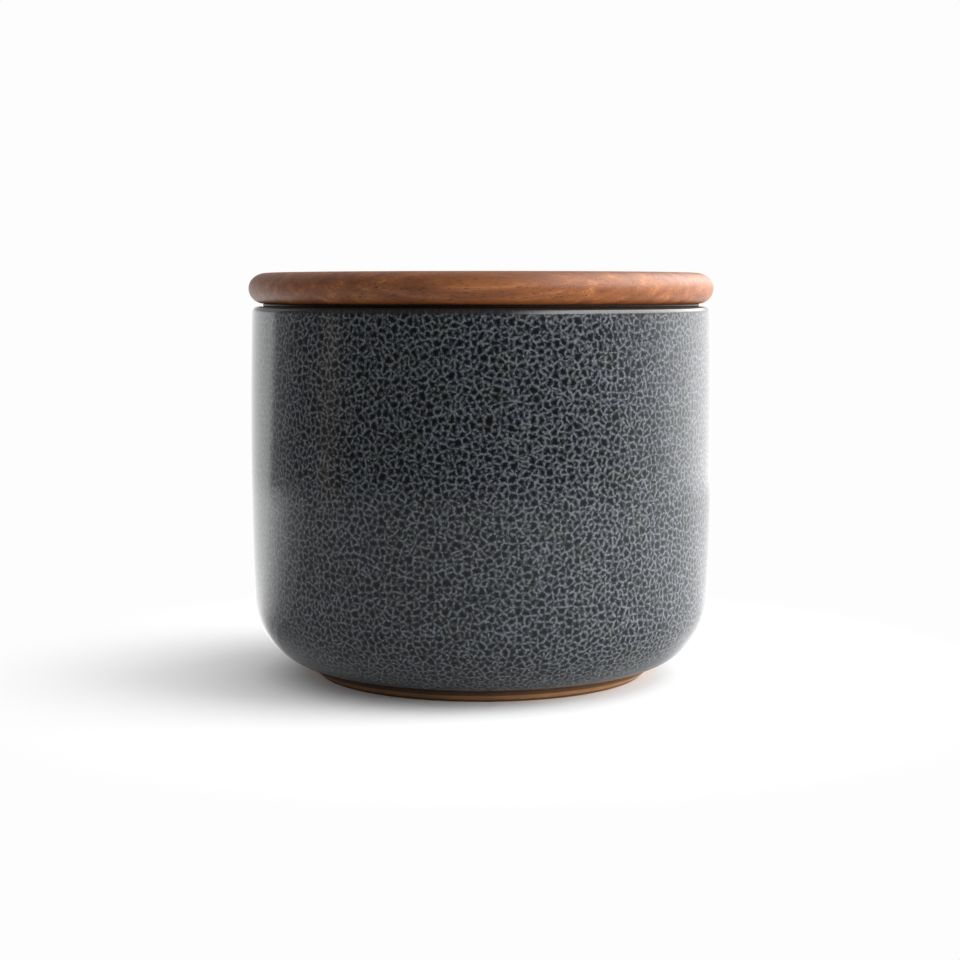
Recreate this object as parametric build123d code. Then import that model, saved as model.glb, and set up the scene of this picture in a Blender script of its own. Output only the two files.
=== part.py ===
from build123d import *
import math
import os

# Storage jar: a glazed stoneware pot that stands on a bare turned foot, and a
# one-piece wooden lid whose stepped plug carries a lipped silicone ring.
# Millimetres, +Z up, origin at the middle of the foot on the table.
# Every sub-part is a solid of revolution, drawn as a half section in (radius, height).

# Fired clay pot
jar_height = 103.2            # table to the top of the bare clay rim
belly_radius = 64.3           # widest part of the clay wall, which swells very slightly
belly_drop = 31.2             # from the rim down to the belly
rim_taper = 0.6               # the rim is this much smaller in radius than the belly
base_taper = 0.9              # and so is the place where wall and flank would meet
wall_thickness = 4.3          # at the rim
hip_round = 18.0              # the big lower corner
flank_slope = 20.0            # degrees, the shallow underside between hip and foot
flank_run = 15.5              # how far the flank draws in to the foot
floor_thickness = 5.0
inner_corner_round = 13.0
lip_outer_round = 1.4
lip_inner_round = 0.8

# Turned foot, left bare
foot_top_height = 3.1         # where the foot runs into the flank
foot_chamfer_top = 1.9        # the foot's upright side ends here, in a broad turned chamfer
foot_chamfer_run = 1.8        # how far the chamfer draws in
foot_edge_bevel = 0.4
foot_root_round = 1.2
foot_ring_width = 4.2
recess_depth = 2.2            # underside is turned away inside the foot ring
recess_round = 1.2

# Glaze coats, fused to the clay
glaze_thickness = 0.3
glaze_line_setback = 1.0      # bare clay left between the foot and the outer glaze
recess_glaze_setback = 1.6    # bare clay left between the foot ring and the base glaze

# Wooden lid
lid_overhang = 0.4            # the lid stands this much proud of the glazed belly
lid_thickness = 8.5
lid_top_edge_run = 5.0        # how far the soft edge reaches in over the top
lid_under_edge_run = 4.2      # and in under the rim of the lid
plug_depth = 12.5             # below the underside of the lid
plug_clearance = 2.0          # radial gap from plug to glazed mouth
plug_bevel = 1.2
groove_drop = 3.2             # from the underside of the lid to the groove
groove_height = 6.0
groove_depth = 2.4

# Silicone ring: its tongue sits in the groove, and its flange keeps the wood off the rim
flange_thickness = 0.7
flange_reach = 0.8            # how far the flange lies out over the flat of the rim
band_proud = 0.6              # how far the ring's band stands out from the plug
lip_count = 2
lip_root_height = 1.5
lip_tip_height = 0.7
lip_rise = 0.7                # the lips lean up, as they do once pushed into the mouth
seal_clearance = 0.25         # lip tip to glazed mouth

# Places worked out from the sizes above
belly_height = jar_height - belly_drop
rim_radius = belly_radius - rim_taper
base_radius = belly_radius - base_taper
bore_radius = rim_radius - wall_thickness
foot_top_radius = base_radius - flank_run
foot_edge_radius = foot_top_radius - foot_chamfer_run - foot_edge_bevel
foot_inner_radius = foot_edge_radius - foot_ring_width
floor_height = recess_depth + floor_thickness
seat_height = jar_height + glaze_thickness
mouth_radius = bore_radius - glaze_thickness
glaze_line_radius = foot_top_radius + glaze_line_setback
lid_radius = belly_radius + glaze_thickness + lid_overhang
lid_underside = seat_height + flange_thickness
plug_radius = mouth_radius - plug_clearance
groove_radius = plug_radius - groove_depth
groove_top = lid_underside - groove_drop
flange_radius = bore_radius + lip_inner_round + flange_reach
outside = 2 * belly_radius    # reach of the cutting zones, well past the pot


def vertex_at(section, radius, height):
    """The corner of a section that lies nearest to a place."""
    place = Vector(radius, height)
    return section.vertices().sort_by(lambda corner: (Vector(corner) - place).length)[0]


def turned(section):
    """Spin a (radius, height) section into a solid about the Z axis."""
    return revolve(Plane.XZ * section, axis=Axis.Z)


def zone(inner_radius, low, outer_radius, high):
    """A plain rectangle used to keep one stretch of a glaze coat."""
    middle = ((inner_radius + outer_radius) / 2, (low + high) / 2)
    return Pos(*middle) * Rectangle(outer_radius - inner_radius, high - low)


def clay_section():
    """Half section of the fired pot, from the recess round the foot to the floor."""
    flank_rise = (base_radius - foot_top_radius) * math.tan(math.radians(flank_slope))
    flank_end = (base_radius, foot_top_height + flank_rise)
    underside = Polyline(
        (0, floor_height),
        (0, recess_depth),
        (foot_inner_radius, recess_depth),
        (foot_inner_radius, 0),
        (foot_edge_radius, 0),
        (foot_edge_radius + foot_edge_bevel, foot_edge_bevel),
        (foot_top_radius, foot_chamfer_top),
        (foot_top_radius, foot_top_height),
        flank_end,
    )
    wall = ThreePointArc(flank_end, (belly_radius, belly_height), (rim_radius, jar_height))
    inside = Polyline(
        (rim_radius, jar_height),
        (bore_radius, jar_height),
        (bore_radius, floor_height),
        (0, floor_height),
    )
    section = make_face([*underside.edges(), *wall.edges(), *inside.edges()])
    rounds = (
        (foot_inner_radius, recess_depth, recess_round),
        (foot_top_radius, foot_top_height, foot_root_round),
        (*flank_end, hip_round),
        (rim_radius, jar_height, lip_outer_round),
        (bore_radius, jar_height, lip_inner_round),
        (bore_radius, floor_height, inner_corner_round),
    )
    for radius, height, size in rounds:
        section = fillet(vertex_at(section, radius, height), size)
    return section


def glaze_sections(clay):
    """The outer coat, the liner and the coat in the recess, all one thickness."""
    coat = offset(clay, glaze_thickness) - clay
    cavity = zone(0, floor_height, bore_radius, jar_height - lip_inner_round)
    cavity = fillet(vertex_at(cavity, bore_radius, floor_height), inner_corner_round)
    outer_zone = zone(glaze_line_radius, 0, outside, seat_height + glaze_thickness) - cavity
    recess_zone = zone(0, 0, foot_inner_radius - recess_glaze_setback, recess_depth)
    return coat & outer_zone, coat & cavity, coat & recess_zone


def lid_section():
    """Half section of the lid: soft-edged disc, stepped plug and seal groove."""
    top = lid_underside + lid_thickness
    middle = lid_underside + lid_thickness / 2
    top_start = lid_radius - lid_top_edge_run
    under_start = lid_radius - lid_under_edge_run
    groove_bottom = groove_top - groove_height
    plug_bottom = lid_underside - plug_depth
    face = Polyline((0, plug_bottom), (0, top), (top_start, top))
    upper_edge = EllipticalCenterArc(
        (top_start, middle), lid_top_edge_run, lid_thickness / 2, start_angle=0, arc_size=90)
    lower_edge = EllipticalCenterArc(
        (under_start, middle), lid_under_edge_run, lid_thickness / 2, start_angle=270, arc_size=90)
    plug = Polyline(
        (under_start, lid_underside),
        (plug_radius, lid_underside),
        (plug_radius, groove_top),
        (groove_radius, groove_top),
        (groove_radius, groove_bottom),
        (plug_radius, groove_bottom),
        (plug_radius, plug_bottom + plug_bevel),
        (plug_radius - plug_bevel, plug_bottom),
        (0, plug_bottom),
    )
    outline = [*face.edges(), *upper_edge.edges(), *lower_edge.edges(), *plug.edges()]
    return make_face(outline)


def seal_section():
    """Half section of the ring: tongue in the groove, band round the plug, flange and lips."""
    band_radius = plug_radius + band_proud
    tip_radius = mouth_radius - seal_clearance
    pitch = groove_height / lip_count
    groove_bottom = groove_top - groove_height
    section = zone(groove_radius, groove_bottom, band_radius, groove_top)
    section += zone(plug_radius, groove_bottom, band_radius, lid_underside)
    section += zone(plug_radius, seat_height, flange_radius, lid_underside)
    for index in range(lip_count):
        root = groove_top - pitch * (index + 0.5) - lip_rise / 2
        section += make_face(Polyline(
            (groove_radius, root - lip_root_height / 2),
            (band_radius, root - lip_root_height / 2),
            (tip_radius, root + lip_rise - lip_tip_height / 2),
            (tip_radius, root + lip_rise + lip_tip_height / 2),
            (band_radius, root + lip_root_height / 2),
            (groove_radius, root + lip_root_height / 2),
            close=True,
        ))
    return section


clay = clay_section()
outer_coat, liner_coat, recess_coat = glaze_sections(clay)

parts = {
    "jar_body": turned(clay),
    "outer_glaze": turned(outer_coat),
    "inner_glaze": turned(liner_coat),
    "base_glaze": turned(recess_coat),
    "lid": turned(lid_section()),
    "seal_ring": turned(seal_section()),
}

os.makedirs("parts", exist_ok=True)
for name, shape in parts.items():
    export_step(shape, f"parts/{name}.step")
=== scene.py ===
import math

import bmesh
import bpy
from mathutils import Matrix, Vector


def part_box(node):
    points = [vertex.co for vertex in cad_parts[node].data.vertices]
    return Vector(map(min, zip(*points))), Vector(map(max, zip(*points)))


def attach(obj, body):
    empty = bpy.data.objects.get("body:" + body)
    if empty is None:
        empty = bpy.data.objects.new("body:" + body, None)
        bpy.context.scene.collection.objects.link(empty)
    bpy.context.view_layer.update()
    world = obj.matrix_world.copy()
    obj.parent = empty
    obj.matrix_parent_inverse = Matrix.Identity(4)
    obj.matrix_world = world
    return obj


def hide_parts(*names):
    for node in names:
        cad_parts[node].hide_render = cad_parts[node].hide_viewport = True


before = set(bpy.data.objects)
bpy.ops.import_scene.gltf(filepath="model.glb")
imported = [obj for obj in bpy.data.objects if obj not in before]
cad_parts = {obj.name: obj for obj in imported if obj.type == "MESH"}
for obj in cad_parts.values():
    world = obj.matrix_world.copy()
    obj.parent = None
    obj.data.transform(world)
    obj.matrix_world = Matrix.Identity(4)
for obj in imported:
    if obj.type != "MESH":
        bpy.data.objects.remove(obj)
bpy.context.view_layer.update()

MM = 0.001                      # the shapes below are written in millimetres


def in_mm(node):
    """Lowest and highest corner of a CAD node, in millimetres."""
    low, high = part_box(node)
    return low / MM, high / MM


# Places that come from the frame
clay_low, clay_high = in_mm("jar_body")
coat_low, coat_high = in_mm("outer_glaze")
liner_low, liner_high = in_mm("inner_glaze")
recess_low, recess_high = in_mm("base_glaze")
lid_low, lid_high = in_mm("lid")
ring_low, ring_high = in_mm("seal_ring")

seat = coat_high.z              # the glazed rim, which the ring's flange lies on
coat = seat - clay_high.z       # thickness of the glaze
belly = clay_high.x             # widest radius of the bare clay
bore = liner_high.x             # inner radius of the bare clay wall
lid_radius = lid_high.x
lid_under = ring_high.z         # the lid's underside, on top of the flange
top = lid_high.z

# Shape of the pot, as it is thrown and turned
BELLY_DROP = 31.2
RIM_TAPER = 0.6
BASE_TAPER = 0.9
HIP_ROUND = 18.0
FLANK_SLOPE = math.radians(20.0)
FLANK_RUN = 15.5
FOOT_TOP = 3.1
FOOT_CHAMFER_TOP = 1.9
FOOT_CHAMFER_RUN = 1.8
FOOT_BEVEL = 0.4
FOOT_RING = 4.2
FOOT_ROOT_ROUND = 1.2
RECESS_ROUND = 1.2
GLAZE_SETBACK = 1.0
LIP_OUTER_ROUND = 1.4
LIP_INNER_ROUND = 0.8
FLOOR_ROUND = 13.0

# The swelling wall is drawn from a little above the hip to a little below the rim
WALL_STEPS = 14
WALL_START = 30.0
WALL_END_DROP = 8.0

# The glaze's net of cells
CELLS_PER_MM = 0.53             # cells about 1.9 mm wide
HIP_STRETCH = 0.5               # spreads the net over the hip, where height alone would squeeze it
SEAM_DEPTH = 30.0               # the net's front and back halves meet this far behind the middle
SEAM_WANDER = 14.0              # or up to this much nearer the middle, as noise goes

# Shape of the lid and its ring
LID_TOP_RUN = 5.0
LID_UNDER_RUN = 4.2
PLUG_GAP = 2.0
PLUG_BEVEL = 1.2
GROOVE_DROP = 3.2
GROOVE_DEPTH = 2.4
BAND_PROUD = 0.6
LIP_GAP = 0.25
LIP_ROOT = 1.5
LIP_TIP = 0.7
LIP_RISE = 0.7

# Small rounds on edges that the solids leave sharp
FOOT_INNER_ROUND = 0.15
FOOT_OUTER_ROUND = 0.12
FOOT_BEVEL_ROUND = 0.1
FOOT_CHAMFER_ROUND = 0.15
GLAZE_EDGE_ROUND = 0.14
PLUG_ROUND = 0.3
GROOVE_ROUND = 0.12
BAND_FOOT_ROUND = 0.2
BAND_CORNER_ROUND = 0.3
FLANGE_ROUND = 0.2
LIP_ROOT_ROUND = 0.12
LIP_TIP_ROUND = 0.25

# Radii and heights worked out from the sizes above
foot_top = belly - BASE_TAPER - FLANK_RUN
foot_edge = foot_top - FOOT_CHAMFER_RUN - FOOT_BEVEL
foot_inside = foot_edge - FOOT_RING
glaze_start = foot_top + GLAZE_SETBACK
liner_floor = liner_low.z
lip_break = liner_high.z
plug = bore - coat - PLUG_GAP
groove = plug - GROOVE_DEPTH
groove_top = lid_under - GROOVE_DROP

# Fineness of the turned meshes
TURN_STEPS = 288
ROUND_STEPS = 10
GLAZE_MESH = 2.5                # long edges of a profile are divided into lengths of about this
LID_MESH = 4.0
LONG_EDGE = 1.5                 # and are long past this many times that length
MERGE_DISTANCE = 0.000001       # metres

# The photograph's view: pixels of a 960 pixel frame, and real sizes
IMAGE_SIZE = 960
FOCAL_PIXELS = 1920.0
HORIZON_ROW = 291.7
AXIS_COLUMN = 481.0
CAMERA_DISTANCE = 543.2
CAMERA_HEIGHT = 107.5
SENSOR = 36.0


# Colour and node helpers

def linear(hex_colour):
    """An sRGB hex colour as linear RGBA."""
    value = hex_colour.lstrip("#")
    channels = [int(value[i:i + 2], 16) / 255 for i in (0, 2, 4)]
    return tuple(c / 12.92 if c <= 0.04045 else ((c + 0.055) / 1.055) ** 2.4 for c in channels) + (1.0,)


def add_node(tree, kind, links=None, **settings):
    """Adds a node, sets its properties and inputs, and links named inputs to sockets."""
    node = tree.nodes.new(kind)
    for key, value in settings.items():
        if hasattr(node, key):
            setattr(node, key, value)
        else:
            node.inputs[key.replace("_", " ")].default_value = value
    for key, socket in (links or {}).items():
        tree.links.new(socket, node.inputs[key])
    return node


def math_node(tree, operation, first, second=None, third=None, clamp=False):
    """A Math node whose inputs are sockets or plain numbers."""
    node = tree.nodes.new("ShaderNodeMath")
    node.operation = operation
    node.use_clamp = clamp
    for index, value in enumerate((first, second, third)):
        if value is None:
            continue
        if isinstance(value, (int, float)):
            node.inputs[index].default_value = value
        else:
            tree.links.new(value, node.inputs[index])
    return node.outputs[0]


def ramp(tree, factor, stops):
    """A colour ramp from (position, hex colour) pairs."""
    node = tree.nodes.new("ShaderNodeValToRGB")
    elements = node.color_ramp.elements
    while len(elements) < len(stops):
        elements.new(0.5)
    for element, (position, colour) in zip(elements, stops):
        element.position = position
        element.color = linear(colour)
    tree.links.new(factor, node.inputs[0])
    return node.outputs[0]


def blend_colours(tree, factor, first, second):
    """Mixes two colours, each a socket or a hex string, by a socket."""
    node = tree.nodes.new("ShaderNodeMix")
    node.data_type = "RGBA"
    tree.links.new(factor, node.inputs[0])
    # Inputs 6 and 7 and output 2 are the Mix node's colours
    for index, value in ((6, first), (7, second)):
        if isinstance(value, str):
            node.inputs[index].default_value = linear(value)
        else:
            tree.links.new(value, node.inputs[index])
    return node.outputs[2]


def smooth_range(tree, value, low, high, start=0.0, end=1.0):
    """Maps low..high to start..end with soft ends, held beyond them."""
    node = add_node(tree, "ShaderNodeMapRange", {"Value": value}, interpolation_type="SMOOTHSTEP")
    for name, number in (("From Min", low), ("From Max", high), ("To Min", start), ("To Max", end)):
        node.inputs[name].default_value = number
    return node.outputs[0]


def new_material(name):
    """A material with its Principled shader, and its object coordinates in millimetres."""
    material = bpy.data.materials.new(name)
    material.use_nodes = True
    tree = material.node_tree
    shader = tree.nodes["Principled BSDF"]
    coordinates = add_node(tree, "ShaderNodeTexCoord")
    scale = add_node(tree, "ShaderNodeVectorMath", {0: coordinates.outputs["Object"]}, operation="SCALE")
    scale.inputs["Scale"].default_value = 1 / MM
    return material, tree, shader, scale.outputs[0]


# Materials

def unrolled(tree, place, facing):
    """The pot's outside laid flat round one side: millimetres along it and up it."""
    axes = add_node(tree, "ShaderNodeSeparateXYZ", {0: place})
    depth = math_node(tree, "MULTIPLY", axes.outputs["Y"], facing)
    angle = math_node(tree, "ARCTAN2", axes.outputs["X"], depth)
    flat = add_node(tree, "ShaderNodeCombineXYZ", {"X": axes.outputs["X"], "Y": axes.outputs["Y"]})
    radius = add_node(tree, "ShaderNodeVectorMath", {0: flat.outputs[0]}, operation="LENGTH").outputs["Value"]
    rise = math_node(tree, "MULTIPLY_ADD", radius, HIP_STRETCH, axes.outputs["Z"])
    along = math_node(tree, "MULTIPLY", angle, belly)
    return add_node(tree, "ShaderNodeCombineXYZ", {"X": along, "Y": rise}).outputs[0]


def glaze_material(name, outside=True):
    """Reactive slate glaze: dark cells in a fine pale net, glossy as poured glass."""
    material, tree, shader, place = new_material(name)
    axes = add_node(tree, "ShaderNodeSeparateXYZ", {0: place})
    height = axes.outputs["Z"]

    # The net wanders: its coordinates are pushed about by noise, more so towards the rim
    quick = add_node(tree, "ShaderNodeTexNoise", {"Vector": place}, Scale=0.6, Detail=2.0)
    push = add_node(tree, "ShaderNodeVectorMath", {0: quick.outputs["Color"]}, operation="SCALE")
    tree.links.new(smooth_range(tree, height, 25.0, 75.0, 1.0, 1.35), push.inputs["Scale"])

    def edge_distance(coordinates, dimensions):
        """How far the nearest edge of a cell is, in millimetres."""
        moved = add_node(tree, "ShaderNodeVectorMath", {0: coordinates, 1: push.outputs[0]}, operation="ADD")
        cells = add_node(tree, "ShaderNodeTexVoronoi", {"Vector": moved.outputs[0]}, Scale=CELLS_PER_MM,
                         voronoi_dimensions=dimensions, feature="DISTANCE_TO_EDGE")
        return math_node(tree, "DIVIDE", cells.outputs["Distance"], CELLS_PER_MM)

    # Outside, the front and the back are unrolled by themselves and meet in a ragged seam
    if outside:
        ragged = math_node(tree, "MULTIPLY_ADD", quick.outputs[0], SEAM_WANDER, axes.outputs["Y"])
        behind = smooth_range(tree, ragged, SEAM_DEPTH, SEAM_DEPTH + 1.0)
        front_gap = edge_distance(unrolled(tree, place, -1.0), "2D")
        back_gap = edge_distance(unrolled(tree, place, 1.0), "2D")
        gap = add_node(tree, "ShaderNodeMix", {0: behind, 2: front_gap, 3: back_gap}).outputs[0]
    else:
        gap = edge_distance(place, "3D")
    # The pale net is a fine broken line in a wide soft veil, both grained with specks
    veil = smooth_range(tree, gap, 0.75, 0.10)
    line = smooth_range(tree, gap, 0.23, 0.04)
    broken = add_node(tree, "ShaderNodeTexNoise", {"Vector": place}, Scale=1.1, Detail=2.0)
    line = math_node(tree, "MULTIPLY", line, smooth_range(tree, broken.outputs[0], 0.34, 0.62, 0.1, 1.0))
    grit = add_node(tree, "ShaderNodeTexNoise", {"Vector": place}, Scale=1.5, Detail=1.5)
    specks = smooth_range(tree, grit.outputs[0], 0.35, 0.65)
    veil = math_node(tree, "MULTIPLY", veil, math_node(tree, "MULTIPLY_ADD", specks, 1.5, 0.15))
    line = math_node(tree, "MULTIPLY", line, math_node(tree, "MULTIPLY_ADD", specks, 0.65, 0.55))
    net = math_node(tree, "MULTIPLY_ADD", veil, 0.36, math_node(tree, "MULTIPLY", line, 0.68), clamp=True)
    net = math_node(tree, "MULTIPLY", net, smooth_range(tree, height, 42.0, 70.0, 1.0, 0.88))

    tint = add_node(tree, "ShaderNodeTexNoise", {"Vector": place}, Scale=0.16, Detail=1.0)
    dark = ramp(tree, tint.outputs[0], ((0.30, "#0D0F13"), (0.50, "#0B0E11"), (0.68, "#0F0F0E")))
    pale = ramp(tree, tint.outputs[0], ((0.30, "#61646A"), (0.50, "#5F6368"), (0.70, "#5E6365")))
    colour = blend_colours(tree, net, dark, pale)

    if outside:
        # The glaze darkens to grey under the rim, and on the rim to a dark brown: brown where it breaks over
        # the edge, darkened further as painted shade from the lid. Just above the foot it goes darker, and
        # brown where it thins at its edge
        band = smooth_range(tree, height, seat - 1.9, seat - 1.2)
        colour = blend_colours(tree, math_node(tree, "MULTIPLY", band, 0.85), colour, "#242426")
        # Painted shade: the rim's edge is darkened for the lid's shade, over the brown of the broken glaze
        edge = smooth_range(tree, height, seat - 0.9, seat - 0.3)
        colour = blend_colours(tree, math_node(tree, "MULTIPLY", edge, 0.8), colour, "#1E1712")
        # Darker just above the glaze's lower edge
        low = smooth_range(tree, height, coat_low.z + 1.2, coat_low.z + 0.4)
        colour = blend_colours(tree, math_node(tree, "MULTIPLY", low, 0.7), colour, "#141313")
        rust = smooth_range(tree, height, coat_low.z + 0.4, coat_low.z + 0.1)
        colour = blend_colours(tree, math_node(tree, "MULTIPLY", rust, 0.9), colour, "#3A2618")
    tree.links.new(colour, shader.inputs["Base Color"])

    shader.inputs["Roughness"].default_value = 0.11
    shader.inputs["IOR"].default_value = 1.5
    relief = add_node(tree, "ShaderNodeBump", {"Height": net}, Strength=0.05, Distance=0.00003)
    orange_peel = add_node(tree, "ShaderNodeTexNoise", {"Vector": place}, Scale=0.35, Detail=1.0)
    wave = add_node(tree, "ShaderNodeBump", {"Height": orange_peel.outputs[0], "Normal": relief.outputs[0]},
                    Strength=0.12, Distance=0.0002)
    tree.links.new(wave.outputs[0], shader.inputs["Normal"])
    return material


def clay_material():
    """Bare fired stoneware: dry red-brown clay with fine grog."""
    material, tree, shader, place = new_material("bare_stoneware")
    axes = add_node(tree, "ShaderNodeSeparateXYZ", {0: place})
    grog = add_node(tree, "ShaderNodeTexNoise", {"Vector": place}, Scale=2.4, Detail=3.0)
    cloud = add_node(tree, "ShaderNodeTexNoise", {"Vector": place}, Scale=0.12, Detail=2.0)
    body = ramp(tree, cloud.outputs[0], ((0.3, "#855E3B"), (0.7, "#9A6F47")))
    speck = smooth_range(tree, grog.outputs[0], 0.36, 0.30)
    body = blend_colours(tree, math_node(tree, "MULTIPLY", speck, 0.4), body, "#4A3627")
    # Painted shade darkens the clay above the chamfer, on the foot's upright side next to the glaze
    upright_shade = smooth_range(tree, axes.outputs["Z"], FOOT_CHAMFER_TOP - 0.2, FOOT_CHAMFER_TOP + 0.3)
    body = blend_colours(tree, math_node(tree, "MULTIPLY", upright_shade, 0.9), body, "#2E2018")
    # and painted shade darkens the bevel that stands on the table, for the contact shadow there
    contact_shade = smooth_range(tree, axes.outputs["Z"], FOOT_BEVEL + 0.5, FOOT_BEVEL + 0.2)
    body = blend_colours(tree, math_node(tree, "MULTIPLY", contact_shade, 0.75), body, "#1E130C")
    tree.links.new(body, shader.inputs["Base Color"])
    shader.inputs["Roughness"].default_value = 0.82
    rough = add_node(tree, "ShaderNodeBump", {"Height": grog.outputs[0]}, Strength=0.35, Distance=0.0001)
    tree.links.new(rough.outputs[0], shader.inputs["Normal"])
    return material


def wood_material():
    """Oiled reddish-brown hardwood, turned and sanded, its long grain running left to right."""
    material, tree, shader, place = new_material("oiled_hardwood")
    drift = add_node(tree, "ShaderNodeTexNoise", {"Vector": place}, Scale=0.02, Detail=1.0)
    wander = add_node(tree, "ShaderNodeVectorMath", {0: drift.outputs["Color"]}, operation="MULTIPLY_ADD")
    wander.inputs[1].default_value = (0.0, 7.0, 7.0)
    tree.links.new(place, wander.inputs[2])

    # Fibres and pores: the board is squeezed along its length, so noise draws into streaks
    squeeze = add_node(tree, "ShaderNodeMapping", {"Vector": wander.outputs[0]})
    squeeze.inputs["Scale"].default_value = (0.035, 1.0, 1.0)
    fibre = add_node(tree, "ShaderNodeTexNoise", {"Vector": squeeze.outputs[0]}, Scale=2.4, Detail=4.0)
    streak = add_node(tree, "ShaderNodeTexNoise", {"Vector": squeeze.outputs[0]}, Scale=0.45, Detail=2.0)
    dash = add_node(tree, "ShaderNodeMapping", {"Vector": wander.outputs[0]})
    dash.inputs["Scale"].default_value = (0.14, 1.0, 1.0)
    pore = add_node(tree, "ShaderNodeTexNoise", {"Vector": dash.outputs[0]}, Scale=3.4, Detail=1.0)
    pores = smooth_range(tree, pore.outputs[0], 0.61, 0.68)

    heartwood = ((0.30, "#68391B"), (0.48, "#77431F"), (0.60, "#834C25"), (0.74, "#976031"))
    body = ramp(tree, streak.outputs[0], heartwood)
    fine = smooth_range(tree, fibre.outputs[0], 0.38, 0.62)
    body = blend_colours(tree, math_node(tree, "MULTIPLY", fine, 0.35), body, "#542C12")
    body = blend_colours(tree, math_node(tree, "MULTIPLY", pores, 0.7), body, "#22120A")
    tree.links.new(body, shader.inputs["Base Color"])
    rough = smooth_range(tree, fibre.outputs[0], 0.3, 0.7, 0.42, 0.52)
    tree.links.new(rough, shader.inputs["Roughness"])
    grain = math_node(tree, "SUBTRACT", math_node(tree, "MULTIPLY", fibre.outputs[0], 0.35), pores)
    relief = add_node(tree, "ShaderNodeBump", {"Height": grain}, Strength=0.45, Distance=0.00006)
    tree.links.new(relief.outputs[0], shader.inputs["Normal"])
    return material


def silicone_material():
    """Moulded charcoal silicone, food grade, with a faintly dusty satin skin."""
    material, tree, shader, place = new_material("moulded_silicone")
    dust = add_node(tree, "ShaderNodeTexNoise", {"Vector": place}, Scale=1.2, Detail=3.0)
    tone = ramp(tree, dust.outputs[0], ((0.3, "#181818"), (0.7, "#202020")))
    tree.links.new(tone, shader.inputs["Base Color"])
    shader.inputs["Roughness"].default_value = 0.42
    shader.inputs["IOR"].default_value = 1.41
    shader.inputs["Specular IOR Level"].default_value = 0.2
    bump = add_node(tree, "ShaderNodeBump", {"Height": dust.outputs[0]}, Strength=0.1, Distance=0.0001)
    tree.links.new(bump.outputs[0], shader.inputs["Normal"])
    return material


# Turned pieces

def round_corner(bm, corner, radius):
    """Rounds one corner of a wire profile to a radius."""
    arms = [edge.other_vert(corner).co - corner.co for edge in corner.link_edges]
    opening = arms[0].angle(arms[1])
    bmesh.ops.bevel(bm, geom=[corner], offset=radius / math.tan(opening / 2), offset_type="OFFSET",
                    segments=ROUND_STEPS, profile=0.5, affect="VERTICES", material=-1)


def turned_piece(name, profile, node, body, material, crease=35.0, fine_edges=0.0):
    """Spins a closed profile of (radius, height, corner rounding) into a piece that stands for a node."""
    bm = bmesh.new()
    corners = [bm.verts.new((radius * MM, 0, height * MM)) for radius, height, _ in profile]
    for first, second in zip(corners, corners[1:] + corners[:1]):
        if first.co.x or second.co.x:
            bm.edges.new((first, second))
    for corner, (_, _, rounding) in zip(corners, profile):
        if rounding:
            round_corner(bm, corner, rounding * MM)
    if fine_edges:
        for edge in [e for e in bm.edges if e.calc_length() > LONG_EDGE * fine_edges * MM]:
            cuts = round(edge.calc_length() / (fine_edges * MM)) - 1
            bmesh.ops.subdivide_edges(bm, edges=[edge], cuts=max(cuts, 1))
    bmesh.ops.spin(bm, geom=bm.verts[:] + bm.edges[:], cent=(0, 0, 0), axis=(0, 0, 1),
                   angle=math.tau, steps=TURN_STEPS, use_merge=True)
    bmesh.ops.remove_doubles(bm, verts=bm.verts[:], dist=MERGE_DISTANCE)
    bmesh.ops.recalc_face_normals(bm, faces=bm.faces[:])
    return finish_piece(name, bm, node, body, material, crease)


def finish_piece(name, bm, node, body, material, crease):
    """Makes the object, shades it, gives it its body and its material in a slot, and hides the node it stands
    for.
    """
    mesh = bpy.data.meshes.new(name)
    bm.to_mesh(mesh)
    bm.free()
    mesh.polygons.foreach_set("use_smooth", [True] * len(mesh.polygons))
    mesh.set_sharp_from_angle(angle=math.radians(crease))
    mesh.materials.append(material)
    piece = bpy.data.objects.new(name, mesh)
    bpy.context.scene.collection.objects.link(piece)
    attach(piece, body)
    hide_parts(node)
    return piece


def wall_points(skin):
    """Points up the swelling wall, on a shallow arc through its foot, belly and rim."""
    base = (belly - BASE_TAPER, flank_height(0.0))
    middle = (belly, clay_high.z - BELLY_DROP)
    rim = (belly - RIM_TAPER, clay_high.z)
    first = (middle[0] - base[0]) / (middle[1] - base[1])
    bend = ((rim[0] - middle[0]) / (rim[1] - middle[1]) - first) / (rim[1] - base[1])
    points = []
    end = clay_high.z - WALL_END_DROP
    for index in range(WALL_STEPS):
        height = WALL_START + (end - WALL_START) * index / (WALL_STEPS - 1)
        radius = base[0] + first * (height - base[1]) + bend * (height - base[1]) * (height - middle[1])
        points.append((radius + skin, height, 0))
    return points


def flank_height(skin):
    """Height where the flank, thickened by a skin, meets the wall."""
    run = FLANK_RUN + skin
    return FOOT_TOP + run * math.tan(FLANK_SLOPE) - skin / math.cos(FLANK_SLOPE)


def outer_outline(skin):
    """Corners of the outside of the pot from the flank to the rim, thickened by a skin."""
    hip = (belly - BASE_TAPER + skin, flank_height(skin), HIP_ROUND + skin)
    rim = (belly - RIM_TAPER + skin, clay_high.z + skin, LIP_OUTER_ROUND + skin)
    lip = (bore - skin, clay_high.z + skin, LIP_INNER_ROUND + skin)
    return [hip, *wall_points(skin), rim, lip]


def flank_at(radius, skin):
    """Height of the flank at a radius, thickened by a skin."""
    return FOOT_TOP + (radius - foot_top) * math.tan(FLANK_SLOPE) - skin / math.cos(FLANK_SLOPE)


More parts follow.
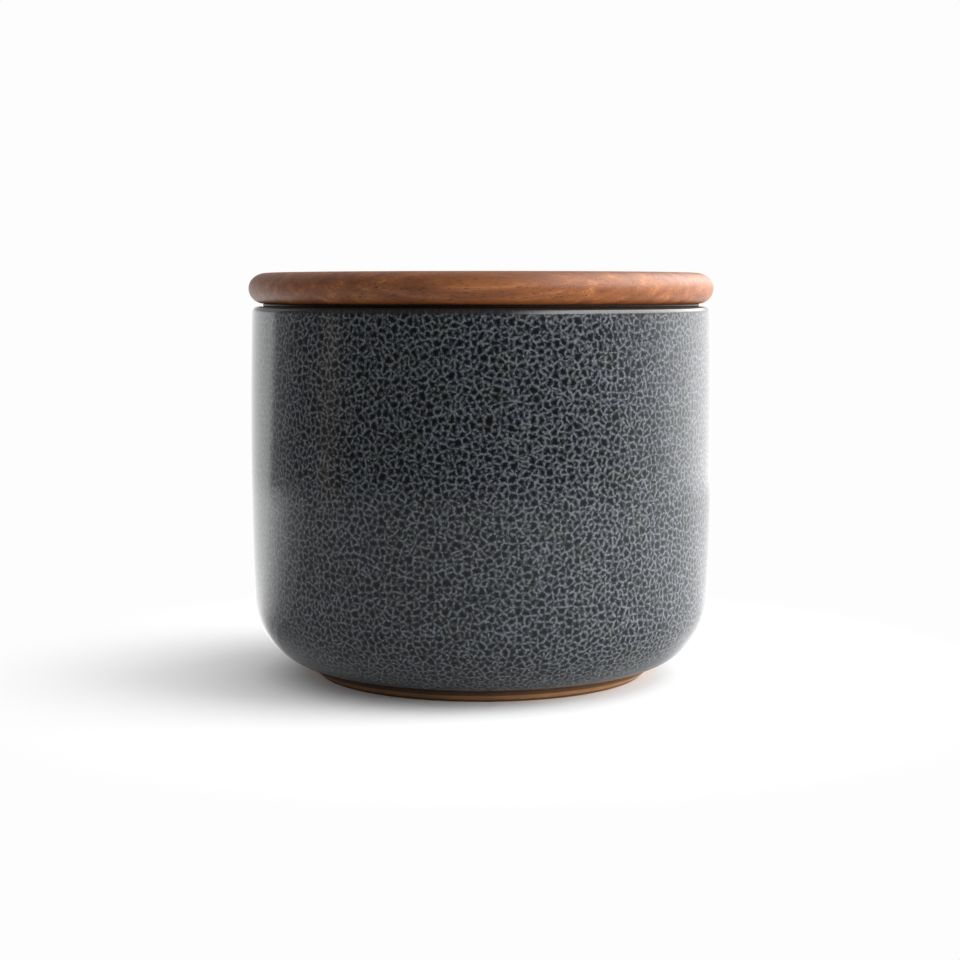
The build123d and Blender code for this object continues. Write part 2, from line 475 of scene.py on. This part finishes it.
def build_pot(material):
    """The bare clay body with its turned foot."""
    profile = [
        (0, recess_high.z, 0),
        (foot_inside, recess_high.z, RECESS_ROUND),
        (foot_inside, clay_low.z, FOOT_INNER_ROUND),
        (foot_edge, clay_low.z, FOOT_OUTER_ROUND),
        (foot_edge + FOOT_BEVEL, clay_low.z + FOOT_BEVEL, FOOT_BEVEL_ROUND),
        (foot_top, FOOT_CHAMFER_TOP, FOOT_CHAMFER_ROUND),
        (foot_top, FOOT_TOP, FOOT_ROOT_ROUND),
        *outer_outline(0.0),
        (bore, liner_floor, FLOOR_ROUND),
        (0, liner_floor, 0),
    ]
    return turned_piece("stoneware_pot", profile, "jar_body", "jar", material)


def build_outer_glaze(material):
    """The slate coat, with the soft rolled edge that melted glaze pulls into above the foot."""
    inner = list(reversed(outer_outline(0.0)))
    profile = [
        (glaze_start, flank_at(glaze_start, 0.0), 0),
        (glaze_start, flank_at(glaze_start, coat), GLAZE_EDGE_ROUND),
        *outer_outline(coat),
        (bore - coat, lip_break, 0),
        (bore, lip_break, 0),
        *inner,
    ]
    return turned_piece("slate_glaze", profile, "outer_glaze", "jar", material,
                        fine_edges=GLAZE_MESH)


def build_liner(material):
    """The glaze inside the pot."""
    profile = [
        (0, liner_floor, 0),
        (bore, liner_floor, FLOOR_ROUND),
        (bore, lip_break, 0),
        (bore - coat, lip_break, 0),
        (bore - coat, liner_floor + coat, FLOOR_ROUND - coat),
        (0, liner_floor + coat, 0),
    ]
    return turned_piece("liner_glaze", profile, "inner_glaze", "jar", material)


def build_recess_glaze(material):
    """The glaze in the recess under the pot."""
    radius = recess_high.x
    profile = [
        (0, recess_low.z, 0),
        (radius, recess_low.z, GLAZE_EDGE_ROUND),
        (radius, recess_high.z, 0),
        (0, recess_high.z, 0),
    ]
    return turned_piece("recess_glaze", profile, "base_glaze", "jar", material)


def edge_points(run, rise, start, stop):
    """Points on the lid's soft elliptical edge, from the start angle to the stop angle."""
    middle = (lid_under + top) / 2
    points = []
    for index in range(ROUND_STEPS + 1):
        angle = math.radians(start + (stop - start) * index / ROUND_STEPS)
        points.append((lid_radius - run + run * math.cos(angle), middle + rise * math.sin(angle), 0))
    return points


def build_lid(material):
    """The wooden lid: a soft-edged disc over a stepped plug with a groove."""
    half = (top - lid_under) / 2
    profile = [
        (0, lid_low.z, 0),
        (plug - PLUG_BEVEL, lid_low.z, PLUG_ROUND),
        (plug, lid_low.z + PLUG_BEVEL, PLUG_ROUND),
        (plug, ring_low.z, GROOVE_ROUND),
        (groove, ring_low.z, 0),
        (groove, groove_top, 0),
        (plug, groove_top, GROOVE_ROUND),
        (plug, lid_under, 0),
        *edge_points(LID_UNDER_RUN, half, -90, 0),
        *edge_points(LID_TOP_RUN, half, 0, 90)[1:],
        (0, top, 0),
    ]
    return turned_piece("wooden_lid", profile, "lid", "lid", material,
                        crease=32.0, fine_edges=LID_MESH)


def build_ring(material):
    """The silicone ring: tongue in the groove, two soft lips that lean up, and the flange on the rim."""
    band = plug + BAND_PROUD
    tip = bore - coat - LIP_GAP
    pitch = (groove_top - ring_low.z) / 2
    profile = [(groove, ring_low.z, 0), (band, ring_low.z, BAND_FOOT_ROUND)]
    for index in (1, 0):
        root = groove_top - pitch * (index + 0.5) - LIP_RISE / 2
        profile += [
            (band, root - LIP_ROOT / 2, LIP_ROOT_ROUND),
            (tip, root + LIP_RISE - LIP_TIP / 2, LIP_TIP_ROUND),
            (tip, root + LIP_RISE + LIP_TIP / 2, LIP_TIP_ROUND),
            (band, root + LIP_ROOT / 2, LIP_ROOT_ROUND),
        ]
    profile += [
        (band, seat, BAND_CORNER_ROUND),
        (ring_high.x, seat, FLANGE_ROUND),
        (ring_high.x, lid_under, FLANGE_ROUND),
        (plug, lid_under, 0),
        (plug, groove_top, 0),
        (groove, groove_top, 0),
    ]
    return turned_piece("seal_ring_lips", profile, "seal_ring", "lid", material)


# Stage, lights and camera

FLOOR_FRONT = 620.0             # the white table ends here in front of the jar
FLOOR_REACH = 6000.0
WHITE = "#FDFDFD"
LIT_TABLE = (50.0, 160.0)       # the table takes shadow within the first and is plain white past the second
GLOSSY_TABLE = (48.0, 70.0)     # gloss sees the shaded table within the first, the list TABLE past the second
TABLE_END = (470.0, 620.0)      # the gloss sees the table within the first, and the room past the second
WINDOW_PEAK = 1.4               # added to the window above the table, as a share of PEAK
PEAK = 4.0                      # brightness of white in the two lists below
# Compass angle in degrees, 0 to the right and 90 behind the jar, and grey level
ROOM = (
    (-180, "#2C2C2C"), (-176, "#2A2A2A"), (-168, "#51473A"), (-159, "#202020"), (-90, "#0C0C0C"),
    (-50, "#1A1A1A"), (-27, "#464646"), (-2, "#969696"), (13, "#C8C8C8"), (37, "#D6D6D6"), (50, "#C6C6C6"),
    (75, "#A0A0A0"), (100, "#929292"), (145, "#A2A2A2"), (150, "#606060"), (172, "#303030"),
)
TABLE = (
    (-180, "#545454"), (-130, "#505050"), (-90, "#565656"), (-50, "#6C6C6C"), (-27, "#7A7A7A"),
    (-2, "#A4A4A4"), (37, "#B7B7B7"), (50, "#A8A8A8"), (75, "#8C8C8C"), (120, "#9E9E9E"),
    (146, "#B4B4B4"), (157, "#A4A4A4"), (173, "#6A6A6A"),
)


def compass_light(tree, place, stops):
    """What the gloss sees in a compass direction, out of one of the two lists."""
    axes = add_node(tree, "ShaderNodeSeparateXYZ", {0: place})
    angle = math_node(tree, "ARCTAN2", axes.outputs["Y"], axes.outputs["X"])
    turn = math_node(tree, "MULTIPLY_ADD", angle, 1 / math.tau, 0.5)
    return ramp(tree, turn, [((degrees + 180) / 360, grey) for degrees, grey in stops])


def build_floor():
    """A pale table, white to the camera and pale grey to the light it bounces, that takes shadow near the
    jar. Away from the jar it glows plain white, and to gloss it glows with the light listed in TABLE and
    ROOM.
    """
    bm = bmesh.new()
    corners = [(-FLOOR_REACH, -FLOOR_FRONT), (FLOOR_REACH, -FLOOR_FRONT),
               (FLOOR_REACH, FLOOR_REACH), (-FLOOR_REACH, FLOOR_REACH)]
    bm.faces.new([bm.verts.new((x * MM, y * MM, 0)) for x, y in corners])
    mesh = bpy.data.meshes.new("table")
    bm.to_mesh(mesh)
    bm.free()
    table = bpy.data.objects.new("table", mesh)
    bpy.context.scene.collection.objects.link(table)

    material, tree, shader, place = new_material("pale_table")
    shader.inputs["Roughness"].default_value = 0.9
    shader.inputs["Specular IOR Level"].default_value = 0.0
    distance = add_node(tree, "ShaderNodeVectorMath", {0: place}, operation="LENGTH").outputs["Value"]
    rays = add_node(tree, "ShaderNodeLightPath")
    glossy = rays.outputs["Is Glossy Ray"]
    tone = blend_colours(tree, rays.outputs["Is Camera Ray"], "#C0C0C0", WHITE)
    tree.links.new(tone, shader.inputs["Base Color"])
    far = math_node(tree, "MAXIMUM", smooth_range(tree, distance, *LIT_TABLE),
                    math_node(tree, "MULTIPLY", glossy, smooth_range(tree, distance, *GLOSSY_TABLE)))
    white = add_node(tree, "ShaderNodeEmission", Color=linear(WHITE), Strength=1.0)
    room = add_node(tree, "ShaderNodeEmission", {"Color": compass_light(tree, place, ROOM)}, Strength=PEAK)
    near = add_node(tree, "ShaderNodeEmission", {"Color": compass_light(tree, place, TABLE)}, Strength=PEAK)
    edge = smooth_range(tree, distance, *TABLE_END)
    gloss = add_node(tree, "ShaderNodeMixShader", {0: edge, 1: near.outputs[0], 2: room.outputs[0]})
    seen = add_node(tree, "ShaderNodeMixShader", {0: glossy, 1: white.outputs[0], 2: gloss.outputs[0]})
    mix = add_node(tree, "ShaderNodeMixShader", {0: far, 1: shader.outputs[0], 2: seen.outputs[0]})
    tree.links.new(mix.outputs[0], tree.nodes["Material Output"].inputs["Surface"])
    mesh.materials.append(material)


def build_world():
    """White to the camera, and to gloss a room: window at the right, pale behind and dark in front."""
    world = bpy.data.worlds.new("studio")
    world.use_nodes = True
    bpy.context.scene.world = world
    tree = world.node_tree
    background = tree.nodes["Background"]
    direction = add_node(tree, "ShaderNodeTexCoord").outputs["Generated"]
    rays = add_node(tree, "ShaderNodeLightPath")
    axes = add_node(tree, "ShaderNodeSeparateXYZ", {0: direction})
    behind = smooth_range(tree, axes.outputs["Y"], -0.35, 0.35)
    wash = blend_colours(tree, behind, "#CACACA", "#F0F0F0")
    # The window is brightest above the table, where only the lid and the shoulder of the pot mirror it
    high = math_node(tree, "MULTIPLY", smooth_range(tree, axes.outputs["Z"], 0.05, 0.30),
                     smooth_range(tree, axes.outputs["X"], 0.1, 0.6))
    upper = smooth_range(tree, axes.outputs["Z"], 0.03, 0.20, 0.0, 0.6)
    room = blend_colours(tree, upper, compass_light(tree, direction, ROOM), "#1A1A1A")
    room = blend_colours(tree, high, room, "#D8D8D8")
    soft = blend_colours(tree, rays.outputs["Is Glossy Ray"], wash, room)
    straight = math_node(tree, "MAXIMUM", rays.outputs["Is Camera Ray"], rays.outputs["Is Transmission Ray"])
    final = blend_colours(tree, straight, soft, WHITE)
    tree.links.new(final, background.inputs["Color"])
    peak = math_node(tree, "MULTIPLY_ADD", high, WINDOW_PEAK * PEAK, PEAK - 1.0)
    strength = math_node(tree, "MULTIPLY_ADD", rays.outputs["Is Glossy Ray"], peak, 1.0)
    tree.links.new(strength, background.inputs["Strength"])
    world.cycles.sampling_method = "NONE"     # so that rays alone find the light that is meant for them


def add_lamp(name, kind, location, target, energy, size=None, angle=None):
    """A white lamp that looks at a target, placed and sized in millimetres, its angle in degrees."""
    data = bpy.data.lights.new(name, kind)
    data.energy = energy
    if kind == "AREA":
        data.shape = "RECTANGLE"
        data.size, data.size_y = (side * MM for side in size)
    if angle is not None:
        data.angle = math.radians(angle)
    lamp = bpy.data.objects.new(name, data)
    lamp.location = Vector(location) * MM
    aim = (Vector(target) - Vector(location)).normalized()
    lamp.rotation_euler = aim.to_track_quat("-Z", "Y").to_euler()
    bpy.context.scene.collection.objects.link(lamp)
    return lamp


def build_camera():
    """The photograph's camera, level with the lid and tipped down a little."""
    tip = math.atan((IMAGE_SIZE / 2 - HORIZON_ROW) / FOCAL_PIXELS)
    swing = math.atan((AXIS_COLUMN - IMAGE_SIZE / 2) / FOCAL_PIXELS)
    data = bpy.data.cameras.new("photo_view")
    data.sensor_width = SENSOR
    data.lens = SENSOR * FOCAL_PIXELS / IMAGE_SIZE
    data.clip_start = 0.01
    camera = bpy.data.objects.new("photo_view", data)
    camera.location = (0, -CAMERA_DISTANCE * MM, CAMERA_HEIGHT * MM)
    camera.rotation_euler = (math.pi / 2 - tip, 0, swing)
    bpy.context.scene.collection.objects.link(camera)
    bpy.context.scene.camera = camera


slate = glaze_material("reactive_slate_glaze")
liner_slate = glaze_material("slate_liner_glaze", outside=False)
wood = wood_material()

build_pot(clay_material())
build_outer_glaze(slate)
build_liner(liner_slate)
build_recess_glaze(liner_slate)
build_lid(wood)
build_ring(silicone_material())

build_floor()
build_world()
# One tall window at the right, lamp by lamp; the gloss sees it in the room light instead
window = [
    add_lamp("window_high", "SUN", (900, 160, 470), (0, 0, 50), 2.4, angle=70),
    add_lamp("window_low", "SUN", (900, -90, 160), (0, 0, 50), 5.4, angle=60),
    add_lamp("table_glow", "AREA", (420, -130, 12), (0, 0, 100), 1.8, size=(240, 20)),
]
for lamp in window:
    lamp.visible_glossy = False
build_camera()

bpy.context.scene.view_settings.view_transform = "Standard"
